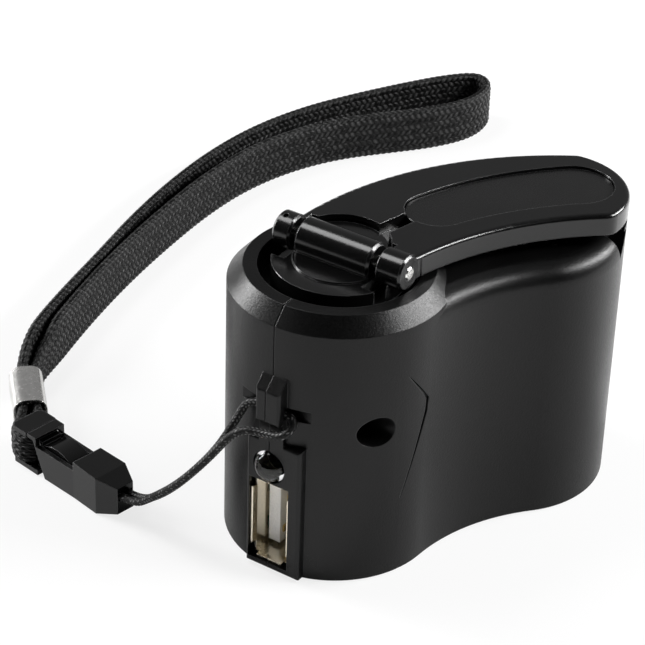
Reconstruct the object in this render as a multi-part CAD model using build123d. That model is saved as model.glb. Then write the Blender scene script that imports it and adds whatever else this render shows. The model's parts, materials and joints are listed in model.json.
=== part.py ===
from build123d import *
from math import acos, atan2, cos, degrees, hypot, pi, radians, sin, sqrt, tan
import os

# Hand crank phone charger with a folding crank, a socket for a charging lead and a wrist strap.
# Millimetres. The origin is on the base, under the crank axis. +X runs to the rear, the socket
# faces -X, the near side is -Y and +Z is up. The long axis of the body runs to the rear and a
# little to the near side: "along" and "across" are measured in that turned direction.

# ---- body ----
front_radius = 15.0          # barrel under the crank
lobe_radius = 14.6           # rounded rear end
lobe_x, lobe_y = 27.5, -11.5
near_waist_radius = 29.0     # hollow of the near flank
far_flank_radius = 60.0      # bulge of the far flank
body_top = 40.0              # flat top of the rear body
shoulder_radius = 3.2
base_edge_radius = 0.3
wall = 2.0
ledge = 1.0                  # step inside the wall that the gear plate rests on
seam_width = 0.16
seam_depth = 0.2

# ---- ring and recess round the crank hub ----
ring_top = body_top + 1.25
ring_chamfer_out, ring_chamfer_up = 2.1, 2.3
recess_radius = 11.0
recess_floor = ring_top - 3.85
bearing_web = 3.0            # thickness of the web that holds the upper bush

# ---- crank hub and hinge ----
hub_radius = 9.2
hub_disc_base = recess_floor + 0.6
pocket_floor = hub_disc_base + 1.7           # under the swinging knuckles
hub_top = ring_top + 0.65
boss_radius = 6.2
boss_top = hub_top + 2.2
hinge_z = hub_top + 1.65
barrel_radius = 2.65
barrel_half_length = 5.85
knuckle_radius = 2.5
knuckle_gap = 0.9
near_knuckle_end = -10.7
far_knuckle_end = 9.5
hinge_pin_radius = 0.95
pin_clearance = 0.05         # running fit, on the radius
knuckle_swing = 4.25         # room in front of the hinge that the knuckles turn in
knuckle_side_room = 0.27
knuckle_chamfer = 0.35
rise_height, rise_overhang = 0.25, 0.2       # low round land in front of the boss
shaft_socket_depth = 1.2

# ---- crank arm ----
arm_thickness = 3.1
arm_top = hub_top + arm_thickness
arm_tip_x, arm_tip_y, arm_tip_radius = lobe_x + 1.56, lobe_y - 3.53, 10.78
arm_near_x, arm_near_y, arm_near_radius = -6.2, -53.3, 43.44     # hollow of the near edge
arm_far_x, arm_far_y, arm_far_radius = 0.33, -38.87, 46.93       # bulge of the far edge
arm_corner_radius = 2.4
arm_root_reach = 12.0        # plate behind the crank axis, before the cut-outs
arm_edge_radius = 0.7
cutout_radius = 6.65
slot_width = 2.5
slot_depth = 1.7
slot_x, slot_y, slot_length, slot_turn = 5.2, -2.83, 6.6, -14.0
inlay_recess = 0.9
inlay_thickness = 0.5
inlay_clearance = 0.12
inlay_inner_along, inlay_inner_across, inlay_inner_radius = 15.6, 0.1, 4.4
inlay_set_back = 2.0         # from the grip's hinge
inlay_outer_across, inlay_outer_radius = -3.8, 5.2
inlay_near_radius, inlay_far_radius = 48.0, 48.0

# ---- folding grip under the arm ----
hinge_behind_lobe = 8.1923    # hinge of the grip, past the middle of the rear lobe
grip_across = -1.5           # middle of the grip, off the long axis
grip_length = 12.5           # from its hinge to its end
grip_width = 8.6
grip_thickness = 3.5
grip_bottom = body_top + 0.4
grip_side_gap = 0.4
grip_pin_radius = 0.6
ear_thickness = 1.4
ear_radius = 1.45

# ---- well for the grip in the rear of the body ----
well_side_gap = 0.8
well_swing_gap = 0.9
well_lining = 1.5
rear_lip_thickness = 1.3
rear_lip_top = body_top + 1.0
rear_lip_half_angle = 56.0
notch_bottom = body_top - 3.4
notch_width = 3.6
crank_sweep_gap = 0.3        # between the lip's ends and the grip as the crank turns

# ---- gear train ----
module = 0.5
pressure_angle = radians(25.0)
addendum = 0.40
dedendum = 0.56
backlash = 0.10
drive_teeth, idler_pinion_teeth = 42, 12
idler_wheel_teeth, rotor_teeth = 36, 10
idler_along = module * (drive_teeth + idler_pinion_teeth) / 2
rotor_along = idler_along + module * (idler_wheel_teeth + rotor_teeth) / 2
drive_z, drive_width = recess_floor - 9.8, 2.8
plate_z, plate_thickness = drive_z - 5.6, 1.5
idler_wheel_z, idler_wheel_width = drive_z - 3.4, 2.4
idler_top = drive_z + drive_width + 0.6
web_holes, web_hole_radius = 5, 1.5
web_hole_place = module * drive_teeth / 2 - 3.1
rotor_pinion_z, rotor_pinion_width = drive_z - 3.5, 2.7
shaft_clearance = 0.05       # running fit, on the radius
end_float = 0.3

# ---- shafts and bushes ----
neck_radius = 3.5
bush_radius = 5.0
bush_flange_radius = 6.2
bush_flange = 0.3
neck_bottom = recess_floor - bearing_web - bush_flange - 0.5
spigot_top = drive_z - 1.0
crank_shaft_radius = 2.0
lower_bush_radius = 2.6
crank_spigot_radius = 1.5
idler_axle_radius = 1.0
rotor_shaft_radius = 1.0

# ---- generator ----
can_radius = 9.4
can_bottom = 7.0
can_wall = 0.8
coil_radius = 8.2
coil_bore = 5.6
coil_count, coil_half_width = 6, 2.3
coil_bottom, coil_top = can_bottom + 3.0, plate_z - 2.0
stator_set_back = 3.0        # stator ring inside the coils' ends
rotor_radius = 5.1
can_boss_radius, can_boss_height = 2.6, 1.4

# ---- socket, lamp and circuit board ----
pad_front = -15.6
pad_far, pad_near = 3.6, -5.0
pad_bottom, pad_top = 0.35, body_top - 18.6
port_z = 8.0                 # middle of the socket
port_width, port_height = 5.7, 13.1
port_side_gap, port_end_gap = 0.35, 0.1
port_set_back = 1.1          # mouth of the socket behind the pad
port_length = 13.9
port_metal = 0.35
lip_depth, lip_flare, lip_end_flare = 0.7, 0.28, 0.05     # bent lips round the mouth
lip_side_inset, lip_end_inset = 1.9, 0.8
tongue_set_back = 2.4        # tongue behind the mouth
tongue_thickness = 1.84
tongue_across = 1.25         # middle of the tongue, off the middle of the socket
tongue_height = 11.1
lamp_z = 17.25
lamp_radius = 2.45
lamp_front = -17.1           # tip of the dome
board_thickness = 1.2

# ---- lanyard post ----
post_front, post_back = -16.7, -15.4
post_far, post_near = 1.65, -2.2
head_bottom, head_top = pad_top + 3.5, pad_top + 8.4     # front face of the post
post_crown = head_top + 1.7
tunnel_bottom, tunnel_top = head_bottom + 0.6, head_bottom + 2.3    # behind the post
tunnel_back = -13.95

# ---- shell screws ----
screw_z = plate_z + 2.0
front_screw_x, rear_screw_x = -8.5, lobe_x + 9.0
screw_boss_radius = 3.0
screw_head_radius, screw_head_length = 2.0, 1.6
screw_head_gap = 0.25
screw_shank_radius = 1.0
screw_hole_radius = 1.15
screw_seat = 2.2             # solid boss between screw head and seam

# ---- crease on the near flank: middle line in x and z, and half its width ----
crease = [(-4.5, 31.4, 0.04), (-0.7, 26.4, 0.30), (-0.9, 24.4, 0.30), (-2.7, 19.0, 0.16), (-5.0, 12.2, 0.04)]
crease_depth = 0.35

# ---- wrist cord, buckle and strap ----
cord_diameter = 1.15
strap_thickness = 1.6
strap_width = 8.0
strap_bottom = 0.1
gathered_bottom, gathered_top = 0.9, 5.4     # strap where the ferrule and buckle squeeze it
buckle_nose_x, buckle_nose_y = -17.0, 24.0
buckle_tail_x, buckle_tail_y = -13.4, 44.2
buckle_half_width = 2.7
buckle_nose_half_width = 1.45
buckle_bottom, buckle_top = 0.1, 6.2
buckle_wall = 0.8
buckle_roof = 0.5
nose_length, nose_taper = 0.9, 2.2           # nose beyond the cord's end, and its widest place
window_front, window_rear = 7.2, 15.2
window_side_top = 4.75
socket_length = 17.05
socket_heel, socket_waist = 13.4, 15.8       # rear of the side walls, at the bottom and the top
web_start, web_end = 14.8, 15.9              # upright behind the tongue
tongue_gap = 0.15
clevis_plate = 0.75
bar_along, bar_radius = 18.9, 1.1
cord_hole_z = 3.6
ferrule_inner, ferrule_outer = 4.2, 5.0    # across, inside and outside
ferrule_height = 5.8
ferrule_length = 9.2

long_angle = atan2(lobe_y, lobe_x)
lobe_along = hypot(lobe_x, lobe_y)
grip_hinge_along = lobe_along + hinge_behind_lobe
inlay_outer_along = grip_hinge_along - inlay_set_back
TURN = Rot(0, 0, degrees(long_angle))
UP = (0, 0, 1)


def place(along, across, z=0.0):
    """Point given along and across the long axis of the body."""
    return Vector(
        along * cos(long_angle) - across * sin(long_angle),
        along * sin(long_angle) + across * cos(long_angle),
        z,
    )


def block(x0, x1, y0, y1, z0, z1):
    """Box between two corners."""
    size = (x1 - x0, y1 - y0, z1 - z0)
    return Pos((x0 + x1) / 2, (y0 + y1) / 2, (z0 + z1) / 2) * Box(*size)


def post(x, y, radius, z0, z1):
    """Upright cylinder between two heights."""
    return Pos(x, y, (z0 + z1) / 2) * Cylinder(radius, z1 - z0)


def rod_x(y, z, radius, x0, x1):
    """Cylinder along X."""
    return Pos((x0 + x1) / 2, y, z) * Rot(0, 90, 0) * Cylinder(radius, x1 - x0)


def rod_y(x, z, radius, y0, y1):
    """Cylinder along Y."""
    return Pos(x, (y0 + y1) / 2, z) * Rot(90, 0, 0) * Cylinder(radius, y1 - y0)


def slab(face, z0, z1):
    """Flat outline raised between two heights."""
    return Pos(0, 0, z0) * extrude(face, z1 - z0, dir=UP)


def circle_crossing(c1, d1, c2, d2):
    """Point at two distances from two centres, on the near side of the line that joins them."""
    span = (c2 - c1).length
    reach = (d1 * d1 - d2 * d2 + span * span) / (2 * span)
    offset = sqrt(d1 * d1 - reach * reach)
    ahead = (c2 - c1).normalized()
    near = Vector(ahead.Y, -ahead.X)
    return c1 + ahead * reach + near * offset


def lobed_outline(c1, r1, c2, r2, near_radius, far_radius, inset=0.0):
    """Two round ends joined by a hollow arc on the near side and a bulging one on the far side."""
    r1, r2 = r1 - inset, r2 - inset
    near_radius, far_radius = near_radius + inset, far_radius - inset
    near_centre = circle_crossing(c1, near_radius + r1, c2, near_radius + r2)
    far_centre = circle_crossing(c1, far_radius - r1, c2, far_radius - r2)
    ahead = (c2 - c1).normalized()
    near_start = c1 + (near_centre - c1).normalized() * r1
    near_end = c2 + (near_centre - c2).normalized() * r2
    far_start = c1 + (c1 - far_centre).normalized() * r1
    far_end = c2 + (c2 - far_centre).normalized() * r2
    near_middle = (near_start + near_end) * 0.5 - near_centre
    far_middle = (far_start + far_end) * 0.5 - far_centre
    edges = [
        ThreePointArc(far_start, c1 - ahead * r1, near_start),
        ThreePointArc(near_start, near_centre + near_middle.normalized() * near_radius, near_end),
        ThreePointArc(near_end, c2 + ahead * r2, far_end),
        ThreePointArc(far_end, far_centre + far_middle.normalized() * far_radius, far_start),
    ]
    return make_face(Wire(edges))


def body_outline(inset=0.0):
    """Plan of the charger's body."""
    front, lobe = Vector(0, 0), Vector(lobe_x, lobe_y)
    return lobed_outline(front, front_radius, lobe, lobe_radius, near_waist_radius, far_flank_radius, inset)


def edges_at(solid, z):
    """Edges that lie flat at one height."""
    return [e for e in solid.edges() if abs(e.center().Z - z) < 1e-4 and e.bounding_box().size.Z < 1e-4]


def save(name, *solids):
    """Write one sub-part. Separate solids stay separate."""
    shape = solids[0] if len(solids) == 1 else Compound(children=list(solids))
    shape.label = name
    export_step(shape, f"parts/{name}.step")


# ---- housing ---------------------------------------------------------------------------------

def barrel(shrink=0.0):
    """Front barrel with the chamfered ring at its top."""
    radius, top = front_radius - shrink, ring_top - shrink
    body = post(0, 0, radius, base_edge_radius, top - ring_chamfer_up)
    ring = Cone(radius, radius - ring_chamfer_out, ring_chamfer_up)
    return body + Pos(0, 0, top - ring_chamfer_up / 2) * ring


def screw_boss(x):
    """Tube round a shell screw, right across the inside of the body."""
    return rod_y(x, screw_z, screw_boss_radius, -40, 40) & slab(body_outline(wall / 2), 2, body_top - 2)


def seam_y(x):
    """Where the seam between the shells lies at a given x."""
    return x * tan(long_angle) if x > 0 else 0.0


def screw_cut(x, near_skin):
    """Counterbore and clearance hole in the near shell, pilot hole in the far one."""
    seat = seam_y(x) - screw_seat
    head = rod_y(x, screw_z, screw_head_radius + screw_head_gap, near_skin - 3, seat)
    hole = rod_y(x, screw_z, screw_hole_radius, seat, seam_y(x))
    return head + hole + rod_y(x, screw_z, screw_shank_radius, seam_y(x), seam_y(x) + 6.5)


def grip_well(grow=0.0):
    """Space that the grip swings down into, open at the top; grown, it is the lining's outside."""
    half = grip_width / 2 + well_side_gap + grow
    deep = grip_length + well_swing_gap + grow
    hinge_z_here = grip_bottom + grip_thickness / 2
    inner_end = grip_hinge_along - deep
    reach = TURN * block(inner_end, lobe_along + lobe_radius, grip_across - half, grip_across + half,
                         hinge_z_here - deep, hinge_z_here)
    centre = place(grip_hinge_along, grip_across, hinge_z_here)
    swing = Location(centre, (0, 0, degrees(long_angle))) * Rot(90, 0, 0) * Cylinder(deep, 3 * half)
    behind = TURN * block(grip_hinge_along, lobe_along + lobe_radius, -20, 20,
                          hinge_z_here - deep, hinge_z_here)
    skin = lobe_radius - rear_lip_thickness + grow
    round_end = post(lobe_x, lobe_y, skin, 10, 50) + TURN * block(0, lobe_along, -20, 20, 10, 50)
    return reach & (swing + behind) & round_end


def crank_sweep():
    """Space over the rear body that the grip and its ears pass through as the crank turns."""
    side = abs(grip_across) + grip_width / 2
    knuckle = hypot(grip_hinge_along + grip_thickness / 2, side)
    ear = hypot(grip_hinge_along + ear_radius, side + grip_side_gap + ear_thickness)
    return post(0, 0, max(knuckle, ear) + crank_sweep_gap, grip_bottom - crank_sweep_gap, 60)


def rear_lip():
    """Upright lip round the rear end of the grip's well, its ends clear of the crank's sweep."""
    ring = post(lobe_x, lobe_y, lobe_radius, body_top - shoulder_radius - 1, rear_lip_top)
    ring -= post(lobe_x, lobe_y, lobe_radius - rear_lip_thickness, 0, 60)
    ring -= crank_sweep()
    reach, width = 30.0, 30.0 * tan(radians(rear_lip_half_angle))
    wedge = make_face(Polyline((0, 0), (reach, -width), (reach, width), close=True))
    return ring & (Pos(lobe_x, lobe_y, 0) * TURN * slab(wedge, 20, 50))


def lip_notch():
    """V-shaped notch between the near shoulder and the lip."""
    rim = body_top + 0.5
    face = make_face(Polyline((0, notch_bottom), (-notch_width, rim), (0.2, rim), close=True))
    wedge = Plane.XZ * face
    cut = Pos(0, lobe_radius + 1.5, 0) * extrude(wedge, 4.0, dir=(0, -1, 0))
    angle = degrees(long_angle) - rear_lip_half_angle
    return Pos(lobe_x, lobe_y, 0) * Rot(0, 0, angle - 90) * cut


def crease_cut():
    """Shallow folded line across the near flank, widest at its corner."""
    front = [(x - half, z) for x, z, half in crease]
    back = [(x + half, z) for x, z, half in reversed(crease)]
    ribbon = Plane.XZ * make_face(Polyline(*front, *back, close=True))
    prism = extrude(ribbon, 30, dir=(0, -1, 0))
    skin = slab(body_outline(), 5, 36) - slab(body_outline(crease_depth), 4, 37)
    return prism & skin


def seam_groove():
    """Fine groove along the joint of the two shells."""
    half = seam_width / 2
    sheet = block(-20, 0, -half, half, -1, 50)
    sheet += TURN * block(0, 60, -half, half, -1, 50)
    skin = slab(body_outline(), 0, ring_top) - slab(body_outline(seam_depth), -1, 60)
    skin -= slab(body_outline(-1), body_top - shoulder_radius, 60)
    skin += barrel() - barrel(seam_depth) - post(0, 0, 30, -1, body_top - shoulder_radius)
    groove = sheet & skin
    groove += block(pad_front, pad_front + seam_depth, -half, half, 0, pad_top)
    return groove + block(post_front, post_front + seam_depth, -half, half, head_bottom, head_top)


def lanyard_post():
    """Hooked post in front of the barrel: an overhanging head on a neck that the wrist cord goes round."""
    root = -front_radius + 1
    side = Plane.XZ * make_face(Polyline(
        (root, pad_top - 0.5), (pad_front, pad_top - 0.5), (pad_front, head_bottom),
        (post_front, head_bottom), (post_front, head_top), (-front_radius, post_crown),
        (root, post_crown), close=True))
    bar = Pos(0, post_far, 0) * extrude(side, post_far - post_near, dir=(0, -1, 0))
    upright = [e for e in bar.edges() if e.center().X < post_front + 0.1 and e.length > 3]
    return fillet(upright, 0.45)


def cord_tunnel():
    """Channel across the barrel behind the post."""
    return block(post_back, tunnel_back, -7, 7, tunnel_bottom, tunnel_top)


def shells():
    """Whole housing before it is cut in two along the seam."""
    rear = slab(body_outline(), 0, body_top)
    rear = fillet(edges_at(rear, body_top), shoulder_radius)
    rear = fillet(edges_at(rear, 0), base_edge_radius)
    pad = block(pad_front, -front_radius / 2, pad_near, pad_far, pad_bottom, pad_top)
    pad = fillet([e for e in pad.edges() if abs(e.center().X - pad_front) < 1e-4], 0.5)
    outside = rear + barrel() + pad + lanyard_post()
    outside -= crease_cut()
    outside -= seam_groove()
    lower = slab(body_outline(wall + ledge), wall, plate_z)
    upper = slab(body_outline(wall), plate_z, body_top - wall)
    web_top, web_bottom = recess_floor, recess_floor - bearing_web
    upper -= post(0, 0, front_radius, web_bottom, body_top)
    cavity = lower + upper
    hollow = outside - cavity + (grip_well(well_lining) & outside) + rear_lip()
    hollow += screw_boss(front_screw_x) + screw_boss(rear_screw_x)
    hollow -= grip_well() + lip_notch()
    hollow -= post(0, 0, recess_radius, web_top, 60)
    hollow -= post(0, 0, bush_radius, web_bottom - 1, web_top + 1)
    port_half, port_rise = port_width / 2 + port_side_gap, port_height / 2 + port_end_gap
    port_back = pad_front + port_set_back + port_length + 0.3
    hollow -= block(-20, port_back, -port_half, port_half, port_z - port_rise, port_z + port_rise)
    hollow -= rod_x(0, lamp_z, lamp_radius + 0.05, -20, -9)
    hollow -= cord_tunnel()
    hollow -= screw_cut(front_screw_x, -front_radius)
    return hollow - screw_cut(rear_screw_x, lobe_y - lobe_radius)


def near_side():
    """Everything on the near side of the seam."""
    far = place(90, 0)
    region = make_face(Polyline((-60, 0), (0, 0), (far.X, far.Y), (far.X, -90), (-60, -90), close=True))
    return slab(region, -10, 80)


def housing():
    whole, near = shells(), near_side()
    save("near_shell", whole & near)
    save("far_shell", whole - near)
    screws = []
    for x in (front_screw_x, rear_screw_x):
        seat = seam_y(x) - screw_seat
        head = rod_y(x, screw_z, screw_head_radius, seat - screw_head_length, seat)
        head -= rod_y(x, screw_z, 1.1, seat - screw_head_length - 1, seat - 0.7) & (
            block(x - 0.25, x + 0.25, -90, 90, screw_z - 1.1, screw_z + 1.1)
            + block(x - 1.1, x + 1.1, -90, 90, screw_z - 0.25, screw_z + 0.25))
        screws.append(head + rod_y(x, screw_z, screw_shank_radius, seat, seam_y(x) + 6.0))
    save("shell_screws", *screws)


# ---- crank -----------------------------------------------------------------------------------

def crank_hub():
    """Round hub with the hinge barrel on top and the bearing neck below."""
    disc = post(0, 0, hub_radius, hub_disc_base, pocket_floor)
    step = post(0, 0, hub_radius, pocket_floor, hub_top) & block(-20, 0, -20, 20, 30, 60)
    swept = barrel_half_length + knuckle_side_room
    for y0, y1 in ((-20, -swept), (swept, 20)):
        step -= block(-knuckle_swing, 20, y0, y1, pocket_floor, 60)
    half = barrel_half_length
    boss = post(0, 0, boss_radius, pocket_floor, boss_top) & block(0, 20, -half, half, 30, 60)
    rise = post(0, 0, boss_radius + rise_overhang, hub_top, hub_top + rise_height)
    rise &= block(-20, 0, -half, half, 30, 60)
    foot = barrel_radius - knuckle_chamfer
    base = block(-foot, foot, -half, half, pocket_floor, hinge_z)
    knuckle = rod_y(0, hinge_z, barrel_radius, -half, half)
    knuckle = chamfer([e for e in knuckle.edges() if e.geom_type == GeomType.CIRCLE], knuckle_chamfer)
    neck = post(0, 0, neck_radius, neck_bottom, hub_disc_base)
    hub = disc + step + boss + base + knuckle + neck + rise
    hub -= rod_y(0, hinge_z, hinge_pin_radius + pin_clearance, -20, 20)
    return hub - post(0, 0, crank_shaft_radius, 20, hub_disc_base + shaft_socket_depth)


def arm_outline():
    """Plan of the arm: hollow near edge, bulging far edge and a round tip."""
    tip_along = arm_tip_x * cos(long_angle) + arm_tip_y * sin(long_angle)
    strip = TURN * Pos((tip_along - arm_root_reach) / 2, 0) * Rectangle(tip_along + arm_root_reach, 60)
    plan = strip + Pos(arm_tip_x, arm_tip_y) * Circle(arm_tip_radius)
    plan &= Pos(arm_far_x, arm_far_y) * Circle(arm_far_radius)
    plan -= Pos(arm_near_x, arm_near_y) * Circle(arm_near_radius)
    reach = arm_tip_radius + 0.1
    corners = [v for v in plan.vertices()
               if v.X > arm_tip_x - 6 and hypot(v.X - arm_tip_x, v.Y - arm_tip_y) < reach]
    return fillet(corners, arm_corner_radius)


def inlay_outline(inset=0.0):
    inner = place(inlay_inner_along, inlay_inner_across)
    outer = place(inlay_outer_along, inlay_outer_across)
    return lobed_outline(inner, inlay_inner_radius, outer, inlay_outer_radius,
                         inlay_near_radius, inlay_far_radius, inset)


def grip_ears(radius, gap):
    """Pair of round ears either side of the grip's hinge, or the room for them."""
    ears = None
    hinge = grip_bottom + grip_thickness / 2
    for side in (-1, 1):
        inner = grip_across + side * (grip_width / 2 + grip_side_gap)
        middle = inner + side * (ear_thickness + gap) / 2
        disc = Location(place(grip_hinge_along, middle, hinge), (0, 0, degrees(long_angle)))
        disc = disc * Rot(90, 0, 0) * Cylinder(radius, ear_thickness + gap)
        ears = disc if ears is None else ears + disc
    return ears


def crank_arm():
    """Flat curved arm with two hinge knuckles, a seat for the inlay and a pocket for the grip."""
    underside = arm_top - arm_thickness
    plate = slab(arm_outline(), underside, arm_top)
    plate = fillet(edges_at(plate, arm_top), arm_edge_radius)
    plate -= block(-30, 0, -30, 30, 0, 80)
    plate -= post(0, 0, cutout_radius, 0, 80)
    clear = barrel_half_length + knuckle_gap
    plate -= block(-30, barrel_radius + 0.5, -clear, clear, 0, 80)
    plate -= block(-30, barrel_radius + 0.2, -30, near_knuckle_end, 0, 80)
    arm = plate
    for y0, y1 in ((near_knuckle_end, -clear), (clear, far_knuckle_end)):
        knuckle = rod_y(0, hinge_z, knuckle_radius, y0, y1)
        outer = [e for e in knuckle.edges() if e.geom_type == GeomType.CIRCLE]
        arm += chamfer(outer, 0.3)
    arm -= slab(inlay_outline(-inlay_clearance), arm_top - inlay_recess, arm_top + 1)
    slot = block(0, slot_length, -slot_width / 2, slot_width / 2, arm_top - slot_depth, arm_top + 1)
    arm -= Pos(slot_x, slot_y, 0) * Rot(0, 0, slot_turn) * slot
    half = grip_width / 2 + grip_side_gap
    pocket = block(grip_hinge_along - grip_length - grip_side_gap,
                   grip_hinge_along + grip_thickness / 2 + 0.4,
                   grip_across - half, grip_across + half, 0, arm_top - inlay_recess)
    arm -= TURN * pocket
    arm += grip_ears(ear_radius, 0) & post(arm_tip_x, arm_tip_y, arm_tip_radius + 5, 0, underside + 1)
    arm -= rod_y(0, hinge_z, hinge_pin_radius, -30, 30)
    arm -= post(-0.6, far_knuckle_end - 1.1, 0.4, hinge_z + 1, 60)
    return arm - grip_pin(0.0)


def grip_pin(extra):
    """Pin that the grip turns on."""
    half = grip_width / 2 + grip_side_gap + ear_thickness - 0.3
    hinge = grip_bottom + grip_thickness / 2
    spot = Location(place(grip_hinge_along, grip_across, hinge), (0, 0, degrees(long_angle)))
    return spot * Rot(90, 0, 0) * Cylinder(grip_pin_radius + extra, 2 * half)


def grip():
    """Small paddle that folds flat under the arm and swings out square to it."""
    hinge = grip_bottom + grip_thickness / 2
    y0, y1 = grip_across - grip_width / 2, grip_across + grip_width / 2
    paddle = block(grip_hinge_along - grip_length, grip_hinge_along, y0, y1, grip_bottom,
                   grip_bottom + grip_thickness)
    paddle = fillet(paddle.edges().filter_by(Axis.Z).sort_by(Axis.X)[:2], 3.0)
    edge = [e for e in paddle.edges()
            if e.bounding_box().size.Z < 1e-4 and e.center().X < grip_hinge_along - 1]
    paddle = fillet(edge, 0.6)
    roll = Rot(90, 0, 0) * Cylinder(grip_thickness / 2, grip_width)
    knuckle = Pos(grip_hinge_along, grip_across, hinge) * roll
    return TURN * (paddle + knuckle) - grip_pin(pin_clearance)


def hinge_pin():
    pin = rod_y(0, hinge_z, hinge_pin_radius, near_knuckle_end - 0.15, far_knuckle_end - 0.8)
    return chamfer([e for e in pin.edges() if e.geom_type == GeomType.CIRCLE], 0.2)


def crank():
    save("crank_hub", crank_hub())
    shaft = post(0, 0, crank_shaft_radius, spigot_top, hub_disc_base + shaft_socket_depth)
    save("crank_shaft", shaft + post(0, 0, crank_spigot_radius, plate_z - 0.2, spigot_top))
    save("crank_arm", crank_arm())
    seat = arm_top - inlay_recess
    save("arm_inlay", slab(inlay_outline(), seat, seat + inlay_thickness))
    save("hinge_pin", hinge_pin())
    save("grip", grip())
    save("grip_pin", grip_pin(0.0))


# ---- gears, shafts and bushes ----------------------------------------------------------------

def gear_face(teeth, turn):
    """Plan of a toothed wheel with involute flanks; turn is the angle of one tooth's middle."""
    pitch = module * teeth / 2
    base, tip, root = pitch * cos(pressure_angle), pitch + addendum, pitch - dedendum
    lowest = max(base, root) + 0.01
    at_pitch = tan(pressure_angle) - pressure_angle + pi / (2 * teeth) - backlash / (2 * pitch)
    flank = []
    for step in range(4):
        radius = lowest + (tip - lowest) * step / 3
        pressure = acos(base / radius)
        flank.append((radius, at_pitch - tan(pressure) + pressure))
    foot = [(root, flank[0][1])] if root < lowest - 0.02 else []
    side = foot + flank
    points = []
    for tooth in range(teeth):
        middle = turn + 2 * pi * tooth / teeth
        turned = [(r, middle - a) for r, a in side] + [(r, middle + a) for r, a in reversed(side)]
        points += [(r * cos(a), r * sin(a)) for r, a in turned]
    return make_face(Polyline(*points, close=True))


def gear(teeth, turn, spot, z, width):
    return Pos(spot.X, spot.Y, 0) * slab(gear_face(teeth, turn), z, z + width)


def transmission():
    origin = Vector(0, 0)
    idler, rotor = place(idler_along, 0), place(rotor_along, 0)
    back = long_angle + pi
    drive = gear(drive_teeth, long_angle, origin, drive_z, drive_width)
    drive += post(0, 0, bush_radius, drive_z + drive_width, neck_bottom)
    for number in range(web_holes):
        hole = post(web_hole_place, 0, web_hole_radius, drive_z - 1, drive_z + drive_width + 1)
        drive -= Rot(0, 0, 360 * number / web_holes) * hole
    save("drive_gear", drive - post(0, 0, crank_shaft_radius, 0, 60))

    wheel = gear(idler_wheel_teeth, long_angle, idler, idler_wheel_z, idler_wheel_width)
    pinion_base = idler_wheel_z + idler_wheel_width
    wheel += gear(idler_pinion_teeth, back + pi / idler_pinion_teeth, idler, pinion_base,
                  idler_top - pinion_base)
    save("idler_gear", wheel - post(idler.X, idler.Y, idler_axle_radius + shaft_clearance, 0, 60))
    axle = post(idler.X, idler.Y, idler_axle_radius, plate_z, idler_top + end_float + 0.8)
    save("idler_axle", axle)
    clip = post(idler.X, idler.Y, 2.0, idler_top + end_float, idler_top + end_float + 0.5)
    save("idler_clip", clip - post(idler.X, idler.Y, idler_axle_radius, 0, 60))
    washer = post(idler.X, idler.Y, 2.2, plate_z + plate_thickness, idler_wheel_z - 0.2)
    save("idler_washer", washer - post(idler.X, idler.Y, idler_axle_radius, 0, 60))

    pinion = gear(rotor_teeth, back + pi / rotor_teeth, rotor, rotor_pinion_z, rotor_pinion_width)
    save("rotor_pinion", pinion - post(rotor.X, rotor.Y, rotor_shaft_radius, 0, 60))
    save("rotor_shaft", post(rotor.X, rotor.Y, rotor_shaft_radius, can_bottom + can_wall,
                             rotor_pinion_z + rotor_pinion_width))

    web_top, web_bottom = recess_floor, recess_floor - bearing_web
    bush = post(0, 0, bush_radius, web_bottom - bush_flange, web_top)
    bush += post(0, 0, bush_flange_radius, web_top, web_top + bush_flange)
    save("upper_bush", bush - post(0, 0, neck_radius + shaft_clearance, 0, 60))
    lower = post(0, 0, lower_bush_radius, plate_z - 0.3, plate_z + plate_thickness + 0.3)
    save("lower_bush", lower - post(0, 0, crank_spigot_radius + shaft_clearance, 0, 60))

    plate = slab(body_outline(wall + 0.1), plate_z, plate_z + plate_thickness)
    plate &= block(front_screw_x + screw_boss_radius + 0.8, rear_screw_x - screw_boss_radius - 0.6,
                   -60, 60, 0, 60)
    plate -= post(0, 0, lower_bush_radius, 0, 60)
    plate -= post(idler.X, idler.Y, idler_axle_radius, 0, 60)
    save("gear_plate", plate - post(rotor.X, rotor.Y, rotor_shaft_radius + shaft_clearance, 0, 60))


def generator():
    """Can, ring of coils and magnet rotor, hung under the gear plate."""
    spot = place(rotor_along, 0)
    can = post(spot.X, spot.Y, can_radius, can_bottom, plate_z)
    can -= post(spot.X, spot.Y, can_radius - can_wall, can_bottom + can_wall, plate_z + 1)
    floor = can_bottom + can_wall
    can += post(spot.X, spot.Y, can_boss_radius, floor, floor + can_boss_height)
    can -= post(spot.X, spot.Y, rotor_shaft_radius + shaft_clearance, floor, 60)
    save("generator_can", can)
    ring = post(spot.X, spot.Y, can_radius - can_wall,
                coil_bottom + stator_set_back, coil_top - stator_set_back)
    ring -= post(spot.X, spot.Y, coil_radius, 0, 60)
    coils = []
    for number in range(coil_count):
        coil = block(coil_bore, coil_radius, -coil_half_width, coil_half_width, coil_bottom, coil_top)
        coil = fillet(coil.edges().filter_by(Axis.X), 0.9) & post(0, 0, coil_radius, 0, 60)
        coils.append(Pos(spot.X, spot.Y, 0) * Rot(0, 0, 360 * number / coil_count) * coil)
    save("stator_ring", ring)
    save("stator_coils", *coils)
    magnet = post(spot.X, spot.Y, rotor_radius, coil_bottom + 0.5, coil_top - 0.5)
    save("rotor_magnet", magnet - post(spot.X, spot.Y, rotor_shaft_radius, 0, 60))


# ---- socket, lamp and board ------------------------------------------------------------------

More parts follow.
